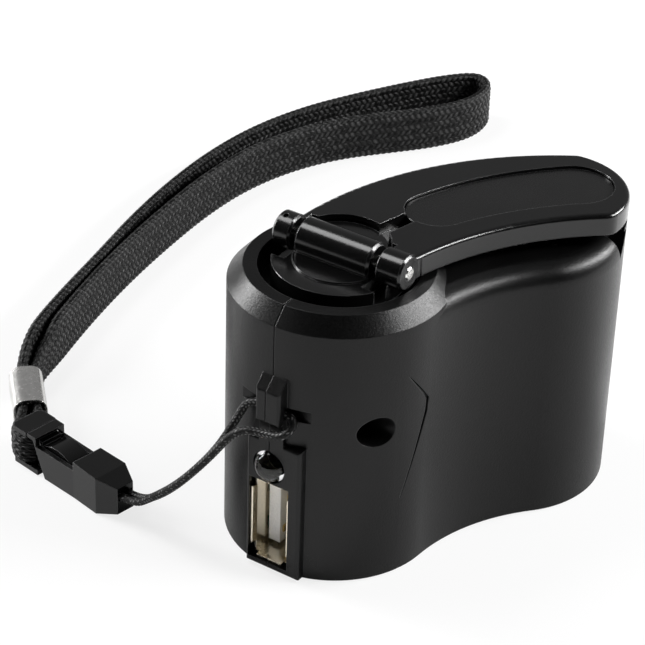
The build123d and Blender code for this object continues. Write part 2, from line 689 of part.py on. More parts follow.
def front_parts():
    half_w, half_h = port_width / 2, port_height / 2
    front = pad_front + port_set_back
    shell = block(front, front + port_length, -half_w, half_w, port_z - half_h, port_z + half_h)
    shell = fillet(shell.edges().filter_by(Axis.X), 0.6)
    inner = block(front - 1, front + port_length - port_metal, -half_w + port_metal, half_w - port_metal,
                  port_z - half_h + port_metal, port_z + half_h - port_metal)
    shell -= inner
    for side in (-1, 1):
        window = block(front + 2.6, front + 6.6, half_w - 1, half_w + 1,
                       port_z + side * 3.1 - 1.1, port_z + side * 3.1 + 1.1)
        finger = block(front + 3.4, front + 6.6, half_w - port_metal, half_w,
                       port_z + side * 3.1 - 0.7, port_z + side * 3.1 + 0.7)
        shell = shell - window + finger
    mouth = half_w + lip_flare
    for side in (1, -1):
        rim = make_face(Polyline(
            (front, side * (half_w - port_metal)), (front, side * half_w),
            (front - lip_depth, side * mouth), (front - lip_depth, side * (mouth - port_metal)),
            close=True))
        shell += slab(rim, port_z - half_h + lip_side_inset, port_z + half_h - lip_side_inset)
    for side in (-1, 1):
        edge, flare = port_z + side * half_h, side * lip_end_flare
        rim = Plane.XZ * make_face(Polyline(
            (front, edge - side * port_metal), (front, edge), (front - lip_depth, edge + flare),
            (front - lip_depth, edge + flare - side * port_metal), close=True))
        run = port_width - 2 * lip_end_inset
        shell += Pos(0, half_w - lip_end_inset, 0) * extrude(rim, run, dir=(0, -1, 0))
    save("socket_shell", shell)
    half_t = tongue_thickness / 2
    tongue_back = front + port_length - 4.2
    tongue = block(front + tongue_set_back, tongue_back, tongue_across - half_t, tongue_across + half_t,
                   port_z - tongue_height / 2, port_z + tongue_height / 2)
    block_back = block(tongue_back, front + port_length - port_metal, -half_w + port_metal,
                       half_w - port_metal, port_z - half_h + port_metal, port_z + half_h - port_metal)
    save("socket_tongue", tongue + block_back)
    contacts = []
    for offset, reach in ((-3.5, 0.0), (-1.0, 1.0), (1.0, 1.0), (3.5, 0.0)):
        strip = block(front + tongue_set_back + 0.6 + reach, tongue_back, tongue_across - half_t - 0.25,
                      tongue_across - half_t, port_z + offset - 0.5, port_z + offset + 0.5)
        contacts.append(strip)
    save("socket_contacts", *contacts)

    lamp_back = pad_front + 6.4
    lens = rod_x(0, lamp_z, lamp_radius, lamp_front + lamp_radius, lamp_back)
    lens += Pos(lamp_front + lamp_radius, 0, lamp_z) * Sphere(lamp_radius)
    lens += rod_x(0, lamp_z, lamp_radius + 0.2, lamp_back - 1.0, lamp_back)
    lens -= rod_x(0, lamp_z, 1.25, lamp_back - 4.4, lamp_back + 1)
    save("lamp_lens", lens)
    save("lamp_chip", rod_x(0, lamp_z, 1.25, lamp_back - 4.4, lamp_back))
    board_far = half_w + board_thickness
    leads = []
    for side, run in ((-1, 2.4), (1, 1.2)):
        across = side * 0.8
        lead = block(lamp_back, lamp_back + run, across - 0.2, across + 0.2, lamp_z - 0.2, lamp_z + 0.2)
        lead += block(lamp_back + run - 0.4, lamp_back + run, across - 0.2, half_w,
                      lamp_z - 0.2, lamp_z + 0.2)
        leads.append(lead)
    save("lamp_leads", *leads)
    save("circuit_board", block(-10.4, 8.6, half_w, board_far, wall + 0.1, screw_z - screw_boss_radius - 0.4))
    save("capacitor", upright_can(0.5, board_far + 2.6, 2.6, 9.0, 18.0))
    save("regulator_chip", block(-7.6, -2.8, board_far, board_far + 1.5, 5.0, 10.2))
    diodes = [upright_can(4.6, board_far + 0.9, 0.9, z, z + 3.4) for z in (4.0, 8.4, 12.8)]
    save("rectifier_diodes", *diodes)


def upright_can(x, y, radius, z0, z1):
    """Small round component with softened ends."""
    rod = post(x, y, radius, z0, z1)
    return fillet([e for e in rod.edges() if e.geom_type == GeomType.CIRCLE], radius * 0.2)


# ---- wrist cord, buckle and strap ------------------------------------------------------------

buckle_nose = Vector(buckle_nose_x, buckle_nose_y)
buckle_ahead = (Vector(buckle_tail_x, buckle_tail_y) - buckle_nose).normalized()
buckle_length = (Vector(buckle_tail_x, buckle_tail_y) - buckle_nose).length
BUCKLE = Location((buckle_nose_x, buckle_nose_y, 0), (0, 0, degrees(atan2(buckle_ahead.Y, buckle_ahead.X))))


def buckle_point(along, across, z):
    """Point in the buckle's own frame: along from nose to tail, across to its far side."""
    spot = buckle_nose + buckle_ahead * along + Vector(-buckle_ahead.Y, buckle_ahead.X) * across
    return (spot.X, spot.Y, z)


strand_gap = 0.65
cord_over_post = [
    (-14.68, 0.4, 26.35), (-14.68, -3.9, 26.35), (-16.75, -3.3, 23.9), (-16.55, 0.0, 23.2),
    (-17.5, 3.9, 23.0), (-19.0, 7.6, 17.2), (-19.4, 12.2, 11.4), (-19.1, 16.8, 7.0),
    buckle_point(-3.4, strand_gap, cord_hole_z), buckle_point(0, strand_gap, cord_hole_z)]
cord_under_post = [
    (-14.68, 0.4, 26.35), (-14.68, 3.9, 26.35), (-15.9, 4.9, 23.6), (-17.2, 7.2, 18.2),
    (-18.0, 11.8, 11.8), (-17.7, 16.2, 7.0),
    buckle_point(-3.4, -strand_gap, cord_hole_z), buckle_point(0, -strand_gap, cord_hole_z)]
strap_near_layer = [
    (8.0, 55.9), (20.0, 59.1), (32.5, 61.7), (45.5, 63.6), (58.0, 64.8), (69.0, 64.6), (79.0, 62.4),
    (88.0, 58.3), (95.5, 52.4), (102.5, 46.8), (109.5, 43.6), (116.0, 44.2)]
strap_far_layer = [
    (118.6, 48.0), (113.6, 52.4), (106.0, 56.8), (97.5, 61.2), (88.0, 65.4), (77.0, 68.2), (65.0, 68.9),
    (52.0, 67.9), (39.0, 65.7), (27.0, 62.8), (15.0, 60.2), (4.6, 57.5)]
ferrule_far = Vector(-3.2, 52.9)        # ends of the ferrule's middle line
ferrule_near = Vector(-9.75, 46.45)


def tangent_radii(points, share=0.45):
    """Largest even arc at each corner: a share of the shorter run over the tangent of half the turn."""
    radii = []
    for before, here, after in zip(points, points[1:], points[2:]):
        into, out = Vector(*here) - Vector(*before), Vector(*after) - Vector(*here)
        half = radians(into.get_angle(out)) / 2
        radii.append(share * min(into.length, out.length) / tan(half))
    return radii


def cord_tube(name, points, diameter):
    """Round cord along straight runs joined by tangent arcs."""
    radii = tangent_radii(points)
    path = FilletPolyline(*points, radius=radii)
    start = Plane(origin=path @ 0, z_dir=path % 0)
    tube = sweep(start * Circle(diameter / 2), path=path)
    expected = pi * diameter ** 2 / 4 * path.length
    print(f"{name}: length {path.length:.1f}, volume ratio {tube.volume / expected:.4f},",
          "radii", [round(r, 1) for r in radii])
    save(name, tube)


def strap_points():
    """Whole path of the strap, from behind the buckle's bar round the long loop and back."""
    ahead = (ferrule_far - ferrule_near).normalized()
    side = Vector(ahead.Y, -ahead.X) * (strap_thickness / 2 + 0.08)
    turn = bar_radius + strap_thickness / 2 + 0.25
    spread = 1.15
    half_gap = 0.03                      # the two ends of the braid meet in front of the bar
    wrap = [buckle_point(bar_along - turn, half_gap, 0), buckle_point(bar_along - turn, turn * spread, 0),
            buckle_point(bar_along + 1.5, turn * spread, 0)]
    wrap_back = [buckle_point(bar_along + 0.8, -turn * spread, 0),
                 buckle_point(bar_along - turn, -turn * spread, 0),
                 buckle_point(bar_along - turn, -half_gap, 0)]
    far_end, near_end = ferrule_far + ahead * 1.0, ferrule_near - ahead * 1.1
    through = [tuple(near_end - side)[:2], tuple(far_end - side)[:2]]
    through_back = [tuple(far_end + side)[:2], tuple(near_end + side)[:2]]
    flat = [p[:2] for p in wrap_back[::-1]] + through_back[::-1] + strap_near_layer + strap_far_layer
    return flat + through[::-1] + [p[:2] for p in wrap[::-1]]


def wrist_strap():
    """Flat braid standing on its edge: one long loop, squeezed where the ferrule holds it."""
    points = strap_points()
    radii = tangent_radii(points)
    path = FilletPolyline(*points, radius=radii)
    band = trace(path, line_width=strap_thickness)
    gathered = slab(band, gathered_bottom, gathered_top)
    ahead = (ferrule_far - ferrule_near).normalized()
    start = ferrule_far + ahead * 1.2
    beyond = Location((start.X, start.Y, 0), (0, 0, degrees(atan2(ahead.Y, ahead.X))))
    full = slab(band, strap_bottom, strap_bottom + strap_width) & (beyond * block(0, 200, -200, 200, -1, 20))
    print(f"wrist_strap: length {path.length:.1f}, radii", [round(r, 1) for r in radii])
    save("wrist_strap", gathered + full)


def buckle_socket():
    """Faceted female half, with the cord's seat in its nose and a window over the tongue."""
    half, nose_half = buckle_half_width, buckle_nose_half_width
    plan = make_face(Polyline(
        (-nose_length, -nose_half), (nose_taper, -half - 0.1), (window_front, -half + 0.1),
        (socket_length, -half), (socket_length, half), (window_front, half - 0.1),
        (nose_taper, half + 0.1), (-nose_length, nose_half), close=True))
    roof = buckle_top - buckle_roof
    side = Plane.XZ * make_face(Polyline(
        (-nose_length, buckle_bottom + 0.8), (nose_taper, buckle_bottom), (socket_heel, buckle_bottom),
        (socket_waist, roof - 0.1), (socket_length, roof), (socket_length, buckle_top),
        (window_front, buckle_top), (nose_taper, buckle_top - 0.15), (-nose_length, buckle_top - 1.0),
        close=True))
    body = slab(plan, -1, 12) & (Pos(0, 20, 0) * extrude(side, 40, dir=(0, -1, 0)))
    inner = half - buckle_wall
    body -= block(4.6, socket_length + 1, -inner, inner, buckle_bottom + buckle_wall, roof)
    body -= block(window_front, window_rear, -5, 5, window_side_top, 12)
    body -= block(window_front, window_rear, -inner, inner, 3, 12)
    seat_half, seat_rise = strand_gap + cord_diameter / 2 + 0.1, cord_diameter / 2 + 0.1
    body -= block(-nose_length - 1, 0, -seat_half, seat_half,
                  cord_hole_z - seat_rise, cord_hole_z + seat_rise)
    return BUCKLE * body


def buckle_tongue():
    """Male half: clevis with an upright bar for the strap and an arched tongue."""
    half = buckle_half_width
    inner = half - buckle_wall - tongue_gap
    low, high = buckle_bottom, buckle_top
    plates = []
    spans = ((web_start, low, low + clevis_plate), (socket_length + 0.15, high - clevis_plate, high))
    for start, z0, z1 in spans:
        plate = block(start, buckle_length, -half - 0.1, half + 0.1, z0, z1)
        plates.append(chamfer(plate.edges().filter_by(Axis.Z).sort_by(Axis.X)[-2:], 0.7))
    clevis = plates[0] + plates[1] + post(bar_along, 0, bar_radius, low, high)
    clevis += block(web_start, web_end, -inner, inner, low, gathered_top - 0.1)
    rail_low = low + buckle_wall + tongue_gap
    rail = block(5.0, web_start + 0.2, -inner, inner, rail_low, rail_low + 1.1)
    crown_z = high - buckle_roof - 0.15
    root, crown, end = (web_start + 0.2, 4.4), (12.3, crown_z), (window_front + 0.3, 3.2)
    outer = ThreePointArc(root, crown, end)
    under = ThreePointArc((end[0] + 0.3, end[1] - 0.95), (crown[0], crown[1] - 1.0), (root[0], root[1] - 1.1))
    edges = [outer, Line(outer @ 1, under @ 0), under, Line(under @ 1, outer @ 0)]
    arch = Plane.XZ * make_face(Wire(edges))
    arch = Pos(0, inner, 0) * extrude(arch, 2 * inner, dir=(0, -1, 0))
    return BUCKLE * (clevis + rail + arch)


def strap_ferrule():
    """Crimped metal sleeve that holds both layers of the strap."""
    ahead = (ferrule_far - ferrule_near).normalized()
    middle = (ferrule_far + ferrule_near) * 0.5
    z_middle = (gathered_bottom + gathered_top) / 2
    outer = Box(ferrule_length, ferrule_outer, ferrule_height)
    outer = fillet(outer.edges().filter_by(Axis.X), 1.8)
    inner = Box(ferrule_length + 1, ferrule_inner, gathered_top - gathered_bottom + 0.2)
    sleeve = outer - fillet(inner.edges().filter_by(Axis.X), 0.6)
    return Location((middle.X, middle.Y, z_middle), (0, 0, degrees(atan2(ahead.Y, ahead.X)))) * sleeve


def wrist_parts():
    cord_tube("wrist_cord_over", cord_over_post, cord_diameter)
    cord_tube("wrist_cord_under", cord_under_post, cord_diameter)
    save("buckle_socket", buckle_socket())
    save("buckle_tongue", buckle_tongue())
    save("strap_ferrule", strap_ferrule())
    wrist_strap()


os.makedirs("parts", exist_ok=True)
housing()
crank()
transmission()
generator()
front_parts()
wrist_parts()
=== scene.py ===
"""Looks of a hand crank phone charger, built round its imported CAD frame.

The camera comes first, then the wrist cord and the strap, then the finishes of the frame's own parts, and last the
floor and the light. Lengths are metres, unless a name ends in mm.
"""

import json
import logging
import math
from dataclasses import dataclass, field
from enum import Enum

import bpy
from mathutils import Matrix, Vector

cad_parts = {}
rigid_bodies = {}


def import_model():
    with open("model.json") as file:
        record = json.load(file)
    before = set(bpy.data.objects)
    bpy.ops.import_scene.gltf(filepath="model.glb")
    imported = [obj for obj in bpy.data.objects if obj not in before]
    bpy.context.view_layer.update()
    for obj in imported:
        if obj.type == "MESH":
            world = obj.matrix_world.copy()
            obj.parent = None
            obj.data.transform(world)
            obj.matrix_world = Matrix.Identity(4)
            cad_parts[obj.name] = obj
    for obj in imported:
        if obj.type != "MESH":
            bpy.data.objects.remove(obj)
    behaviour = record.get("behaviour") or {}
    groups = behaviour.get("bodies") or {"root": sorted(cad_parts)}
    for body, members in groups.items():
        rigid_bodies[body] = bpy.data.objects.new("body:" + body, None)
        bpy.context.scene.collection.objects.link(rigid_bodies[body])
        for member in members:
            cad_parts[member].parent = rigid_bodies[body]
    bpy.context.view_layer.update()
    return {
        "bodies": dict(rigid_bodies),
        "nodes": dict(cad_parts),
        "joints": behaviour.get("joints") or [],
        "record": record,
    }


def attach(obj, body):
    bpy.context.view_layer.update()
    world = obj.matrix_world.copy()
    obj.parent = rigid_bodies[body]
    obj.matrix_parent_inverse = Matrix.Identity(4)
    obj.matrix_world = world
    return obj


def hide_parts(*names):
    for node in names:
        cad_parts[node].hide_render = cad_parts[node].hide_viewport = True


LOG = logging.getLogger("charger")
MM = 0.001


# ---- helpers ---------------------------------------------------------------------------------------------------------


class Graph:
    """Adds nodes and links to one node tree."""

    def __init__(self, tree: bpy.types.NodeTree) -> None:
        """Keep the tree.

        Args:
            tree: The node tree of a material, a world or a group.
        """
        self.tree = tree

    def add(self, kind: str, **values: object) -> bpy.types.Node:
        """Add a node.

        Args:
            kind: The node's type name.
            values: Properties to set on it.

        Returns:
            The new node.
        """
        node = self.tree.nodes.new(kind)
        for key, value in values.items():
            setattr(node, key, value)
        return node

    def put(self, value: object, target: bpy.types.NodeSocket) -> None:
        """Give a socket a link or a plain value.

        Args:
            value: An output socket, a number or a colour.
            target: The input socket.
        """
        if isinstance(value, bpy.types.NodeSocket):
            self.tree.links.new(value, target)
        else:
            target.default_value = value

    def math(self, operation: str, *values: object, clamp: bool = False) -> bpy.types.NodeSocket:
        """Add a Math node.

        Args:
            operation: The node's operation.
            values: One to three sockets or numbers.
            clamp: Whether the result is held between 0 and 1.

        Returns:
            Its value socket.
        """
        node = self.add("ShaderNodeMath", operation=operation, use_clamp=clamp)
        for value, target in zip(values, node.inputs):
            self.put(value, target)
        return node.outputs[0]

    def ramp(self, value: object, low: float, high: float, out_low: float = 0.0, out_high: float = 1.0) -> bpy.types.NodeSocket:
        """Map a value smoothly from one range to another.

        Args:
            value: The socket to map.
            low: Where the output starts.
            high: Where the output ends.
            out_low: Output at low.
            out_high: Output at high.

        Returns:
            The mapped value's socket.
        """
        node = self.add("ShaderNodeMapRange", interpolation_type="SMOOTHSTEP")
        for item, target in zip((value, low, high, out_low, out_high), node.inputs):
            self.put(item, target)
        return node.outputs[0]

    def mix(self, share: object, first: object, second: object) -> bpy.types.NodeSocket:
        """Mix two colours.

        Args:
            share: How much of the second colour shows.
            first: Colour at 0.
            second: Colour at 1.

        Returns:
            The mixed colour's socket.
        """
        node = self.add("ShaderNodeMix", data_type="RGBA", clamp_factor=True)
        self.put(share, node.inputs[0])
        self.put(first, node.inputs[6])
        self.put(second, node.inputs[7])
        return node.outputs[2]


def grey(value: float) -> tuple[float, float, float, float]:
    """A neutral colour with full alpha."""
    return (value, value, value, 1.0)


def new_group(name: str, inputs: dict[str, tuple[str, object]], outputs: dict[str, str]) -> bpy.types.ShaderNodeTree:
    """Make an empty shader node group.

    Args:
        name: The group's name.
        inputs: Socket name to its type and starting value.
        outputs: Socket name to its type.

    Returns:
        The new group, with its input and output nodes.
    """
    tree = bpy.data.node_groups.new(name, "ShaderNodeTree")
    for label, (kind, value) in inputs.items():
        tree.interface.new_socket(name=label, in_out="INPUT", socket_type=kind).default_value = value
    for label, kind in outputs.items():
        tree.interface.new_socket(name=label, in_out="OUTPUT", socket_type=kind)
    tree.nodes.new("NodeGroupInput")
    tree.nodes.new("NodeGroupOutput")
    return tree


def group_ends(tree: bpy.types.ShaderNodeTree) -> tuple[bpy.types.NodeOutputs, bpy.types.NodeInputs]:
    """The sockets inside a group that carry its inputs and its outputs."""
    start = next(n for n in tree.nodes if n.bl_idname == "NodeGroupInput")
    end = next(n for n in tree.nodes if n.bl_idname == "NodeGroupOutput")
    return start.outputs, end.inputs


# ---- shared effects --------------------------------------------------------------------------------------------------


class Effects:
    """Node groups that several finishes use."""

    def __init__(self) -> None:
        """Build each group once."""
        self.grain = self.build_grain()
        self.edge = self.build_painted_edge_highlight()
        self.stitches = self.build_stitches()

    @staticmethod
    def build_grain() -> bpy.types.ShaderNodeTree:
        """Fine moulded grain: uneven colour, uneven roughness and a height for a bump.

        Returns:
            The group.
        """
        tree = new_group(
            "moulded_grain",
            {
                "Dark": ("NodeSocketColor", grey(0.01)),
                "Light": ("NodeSocketColor", grey(0.02)),
                "Smooth": ("NodeSocketFloat", 0.35),
                "Rough": ("NodeSocketFloat", 0.5),
                "Per metre": ("NodeSocketFloat", 5000.0),
            },
            {"Color": "NodeSocketColor", "Roughness": "NodeSocketFloat", "Height": "NodeSocketFloat"},
        )
        graph = Graph(tree)
        given, out = group_ends(tree)
        place = graph.add("ShaderNodeTexCoord").outputs["Object"]
        fine = graph.add("ShaderNodeTexNoise")
        fine.inputs["Detail"].default_value = 3.0
        fine.inputs["Roughness"].default_value = 0.62
        graph.put(place, fine.inputs["Vector"])
        graph.put(given["Per metre"], fine.inputs["Scale"])
        broad = graph.add("ShaderNodeTexNoise")
        broad.inputs["Scale"].default_value = 90.0
        broad.inputs["Detail"].default_value = 2.0
        graph.put(place, broad.inputs["Vector"])
        share = graph.math("ADD", graph.math("MULTIPLY", fine.outputs[0], 0.6), graph.math("MULTIPLY", broad.outputs[0], 0.4))
        spread = graph.ramp(share, 0.3, 0.7)
        graph.put(graph.mix(spread, given["Dark"], given["Light"]), out["Color"])
        low = graph.math("SUBTRACT", given["Rough"], given["Smooth"])
        graph.put(graph.math("MULTIPLY_ADD", low, spread, given["Smooth"]), out["Roughness"])
        graph.put(fine.outputs[0], out["Height"])
        return tree

    @staticmethod
    def build_painted_edge_highlight() -> bpy.types.ShaderNodeTree:
        """Mask of a part's outer edges, where a painted highlight lightens the colour.

        Returns:
            The group.
        """
        tree = new_group(
            "painted_edge_highlight",
            {"Width": ("NodeSocketFloat", 0.0003), "Gain": ("NodeSocketFloat", 6.0)},
            {"Mask": "NodeSocketFloat"},
        )
        graph = Graph(tree)
        given, out = group_ends(tree)
        rounded = graph.add("ShaderNodeBevel", samples=4)
        graph.put(given["Width"], rounded.inputs["Radius"])
        flat = graph.add("ShaderNodeNewGeometry").outputs["Normal"]
        likeness = graph.add("ShaderNodeVectorMath", operation="DOT_PRODUCT")
        graph.put(rounded.outputs[0], likeness.inputs[0])
        graph.put(flat, likeness.inputs[1])
        turned = graph.math("SUBTRACT", 1.0, likeness.outputs["Value"])
        # The mask marks where the painted edge highlight goes.
        graph.put(graph.math("MULTIPLY", turned, given["Gain"], clamp=True), out["Mask"])
        return tree

    @staticmethod
    def build_stitches() -> bpy.types.ShaderNodeTree:
        """Slanted stitches of a braid over a map in millimetres.

        Returns:
            The group.
        """
        tree = new_group(
            "braid_stitches",
            {
                "Vector": ("NodeSocketVector", (0.0, 0.0, 0.0)),
                "Along": ("NodeSocketFloat", 1.1),
                "Across": ("NodeSocketFloat", 1.0),
                "Slant": ("NodeSocketFloat", 0.4),
                "Yarn": ("NodeSocketFloat", 0.16),
            },
            {"Stitch": "NodeSocketFloat", "Height": "NodeSocketFloat", "Painted glint": "NodeSocketFloat"},
        )
        graph = Graph(tree)
        given, out = group_ends(tree)
        split = graph.add("ShaderNodeSeparateXYZ")
        graph.put(given["Vector"], split.inputs[0])
        run, side = split.outputs[0], split.outputs[1]
        row_place = graph.math("DIVIDE", side, given["Across"])
        row = graph.math("FLOOR", row_place)
        odd = graph.math("PINGPONG", row, 1.0)
        y = graph.math("SUBTRACT", graph.math("FRACT", row_place), 0.5)
        lean = graph.math("MULTIPLY", graph.math("MULTIPLY_ADD", odd, 2.0, -1.0), given["Slant"])
        shifted = graph.math("MULTIPLY_ADD", y, lean, graph.math("DIVIDE", run, given["Along"]))
        shifted = graph.math("MULTIPLY_ADD", odd, 0.5, shifted)
        x = graph.math("SUBTRACT", graph.math("FRACT", shifted), 0.5)
        across = graph.math("COSINE", graph.math("MULTIPLY", y, math.pi))
        along = graph.math("COSINE", graph.math("MULTIPLY", x, math.pi))
        lump = graph.math("MULTIPLY", graph.math("POWER", along, 1.3), graph.math("POWER", across, 0.7))
        strand = graph.math("DIVIDE", graph.math("MULTIPLY_ADD", graph.math("MULTIPLY", y, given["Across"]), 0.5, graph.math("MULTIPLY", x, given["Along"])), given["Yarn"])
        line = graph.math("COSINE", graph.math("MULTIPLY", strand, 2 * math.pi))
        yarn = graph.math("MULTIPLY_ADD", line, 0.12, 0.88)
        graph.put(graph.ramp(lump, 0.1, 0.75), out["Stitch"])
        graph.put(graph.math("MULTIPLY", lump, yarn), out["Height"])
        cell = graph.add("ShaderNodeCombineXYZ")
        graph.put(graph.math("FLOOR", shifted), cell.inputs[0])
        graph.put(row, cell.inputs[1])
        # Painted glints: a random share of stitch crowns is marked for a pale colour.
        chance = graph.add("ShaderNodeTexWhiteNoise", noise_dimensions="2D")
        graph.put(cell.outputs[0], chance.inputs["Vector"])
        chosen = graph.math("GREATER_THAN", chance.outputs["Value"], 0.45)
        graph.put(graph.math("MULTIPLY", chosen, graph.ramp(lump, 0.45, 0.85)), out["Painted glint"])
        return tree


# ---- finishes --------------------------------------------------------------------------------------------------------


@dataclass(frozen=True)
class Moulded:
    """Moulded plastic, with its grain, its rounded edges and a painted highlight along them."""

    name: str
    dark: float
    light: float
    smooth: float
    rough: float
    gloss: float = 0.5
    per_metre: float = 6000.0
    relief_mm: float = 0.004
    edge_mm: float = 0.2
    # Brightness of the painted highlight that the edge mask mixes in along the edges.
    painted_highlight_level: float = 0.05
    edge_gain: float = 4.0
    tint: tuple[float, float, float] = (1.0, 1.0, 1.02)
    coat: float = 0.0

    def build(self, effects: Effects) -> bpy.types.Material:
        """Make the material.

        Args:
            effects: The shared node groups.

        Returns:
            The material.
        """
        material = bpy.data.materials.new(self.name)
        material.use_nodes = True
        graph = Graph(material.node_tree)
        shader = material.node_tree.nodes["Principled BSDF"]
        shader.inputs["Specular IOR Level"].default_value = self.gloss
        shader.inputs["Coat Weight"].default_value = self.coat
        shader.inputs["Coat Roughness"].default_value = 0.08
        grain = graph.add("ShaderNodeGroup", node_tree=effects.grain)
        grain.inputs["Dark"].default_value = self.coloured(self.dark)
        grain.inputs["Light"].default_value = self.coloured(self.light)
        grain.inputs["Smooth"].default_value = self.smooth
        grain.inputs["Rough"].default_value = self.rough
        grain.inputs["Per metre"].default_value = self.per_metre
        edge = graph.add("ShaderNodeGroup", node_tree=effects.edge)
        edge.inputs["Width"].default_value = self.edge_mm * MM
        edge.inputs["Gain"].default_value = self.edge_gain
        # Painted highlight: the edge mask lightens the base colour towards a brighter level.
        highlighted = graph.mix(edge.outputs["Mask"], grain.outputs["Color"], self.coloured(self.painted_highlight_level))
        graph.put(highlighted, shader.inputs["Base Color"])
        graph.put(grain.outputs["Roughness"], shader.inputs["Roughness"])
        rounded = graph.add("ShaderNodeBevel", samples=4)
        rounded.inputs["Radius"].default_value = self.edge_mm * MM
        bump = graph.add("ShaderNodeBump")
        bump.inputs["Strength"].default_value = 1.0
        bump.inputs["Distance"].default_value = self.relief_mm * MM
        graph.put(grain.outputs["Height"], bump.inputs["Height"])
        graph.put(rounded.outputs[0], bump.inputs["Normal"])
        graph.put(bump.outputs[0], shader.inputs["Normal"])
        return material

    def coloured(self, value: float) -> tuple[float, float, float, float]:
        """The tint at one brightness."""
        return (value * self.tint[0], value * self.tint[1], value * self.tint[2], 1.0)


@dataclass(frozen=True)
class Plated:
    """Metal, plated or bare, with faint marks of its making."""

    name: str
    colour: tuple[float, float, float]
    smooth: float
    rough: float
    per_metre: float = 1800.0
    relief_mm: float = 0.003
    edge_mm: float = 0.12

    def build(self, effects: Effects) -> bpy.types.Material:
        """Make the material.

        Args:
            effects: The shared node groups.

        Returns:
            The material.
        """
        material = bpy.data.materials.new(self.name)
        material.use_nodes = True
        graph = Graph(material.node_tree)
        shader = material.node_tree.nodes["Principled BSDF"]
        shader.inputs["Metallic"].default_value = 1.0
        grain = graph.add("ShaderNodeGroup", node_tree=effects.grain)
        grain.inputs["Dark"].default_value = (*(0.86 * c for c in self.colour), 1.0)
        grain.inputs["Light"].default_value = (*self.colour, 1.0)
        grain.inputs["Smooth"].default_value = self.smooth
        grain.inputs["Rough"].default_value = self.rough
        grain.inputs["Per metre"].default_value = self.per_metre
        graph.put(grain.outputs["Color"], shader.inputs["Base Color"])
        graph.put(grain.outputs["Roughness"], shader.inputs["Roughness"])
        rounded = graph.add("ShaderNodeBevel", samples=4)
        rounded.inputs["Radius"].default_value = self.edge_mm * MM
        bump = graph.add("ShaderNodeBump")
        bump.inputs["Distance"].default_value = self.relief_mm * MM
        graph.put(grain.outputs["Height"], bump.inputs["Height"])
        graph.put(rounded.outputs[0], bump.inputs["Normal"])
        graph.put(bump.outputs[0], shader.inputs["Normal"])
        return material


@dataclass(frozen=True)
class ClearDome:
    """Clear lamp body."""

    name: str

    def build(self, effects: Effects) -> bpy.types.Material:
        """Make the material.

        Args:
            effects: The shared node groups.

        Returns:
            The material.
        """
        material = bpy.data.materials.new(self.name)
        material.use_nodes = True
        graph = Graph(material.node_tree)
        shader = material.node_tree.nodes["Principled BSDF"]
        shader.inputs["Transmission Weight"].default_value = 1.0
        shader.inputs["IOR"].default_value = 1.45
        shader.inputs["Specular IOR Level"].default_value = 0.7
        grain = graph.add("ShaderNodeGroup", node_tree=effects.grain)
        grain.inputs["Dark"].default_value = (0.90, 0.91, 0.93, 1.0)
        grain.inputs["Light"].default_value = (0.97, 0.97, 0.98, 1.0)
        grain.inputs["Smooth"].default_value = 0.02
        grain.inputs["Rough"].default_value = 0.05
        grain.inputs["Per metre"].default_value = 700.0
        graph.put(grain.outputs["Color"], shader.inputs["Base Color"])
        graph.put(grain.outputs["Roughness"], shader.inputs["Roughness"])
        return material


@dataclass(frozen=True)
class Braided:
    """Black braid: raised glossy stitches over gaps darkened as painted shade, with painted glints on some stitch
    crowns.
    """

    name: str
    along_mm: float
    across_mm: float
    slant: float
    yarn_mm: float
    gap: float
    stitch: float
    painted_glint: float
    relief_mm: float
    smooth: float = 0.32
    rough: float = 0.62
    gloss: float = 0.2

    def build(self, effects: Effects) -> bpy.types.Material:
        """Make the material.

        Args:
            effects: The shared node groups.

        Returns:
            The material.
        """
        material = bpy.data.materials.new(self.name)
        material.use_nodes = True
        graph = Graph(material.node_tree)
        shader = material.node_tree.nodes["Principled BSDF"]
        shader.inputs["Specular IOR Level"].default_value = self.gloss
        braid = graph.add("ShaderNodeGroup", node_tree=effects.stitches)
        graph.put(graph.add("ShaderNodeTexCoord").outputs["UV"], braid.inputs["Vector"])
        braid.inputs["Along"].default_value = self.along_mm
        braid.inputs["Across"].default_value = self.across_mm
        braid.inputs["Slant"].default_value = self.slant
        braid.inputs["Yarn"].default_value = self.yarn_mm
        # Painted shade: the gaps between stitches take the darker gap colour.
        plain = graph.mix(braid.outputs["Stitch"], grey(self.gap), grey(self.stitch))
        # Painted glints: the marked stitch crowns take a pale colour.
        graph.put(graph.mix(braid.outputs["Painted glint"], plain, grey(self.painted_glint)), shader.inputs["Base Color"])
        graph.put(graph.ramp(braid.outputs["Stitch"], 0.0, 1.0, self.rough, self.smooth), shader.inputs["Roughness"])
        bump = graph.add("ShaderNodeBump")
        bump.inputs["Distance"].default_value = self.relief_mm * MM
        graph.put(braid.outputs["Height"], bump.inputs["Height"])
        graph.put(bump.outputs[0], shader.inputs["Normal"])
        return material


class Slot(Enum):
    """The record's material slots that show."""

    SHELL = "shell_plastic"
    CRANK = "crank_plastic"
    INLAY = "inlay_plastic"
    BUCKLE = "buckle_plastic"
    CORD = "cord_braid"
    STRAP = "strap_braid"


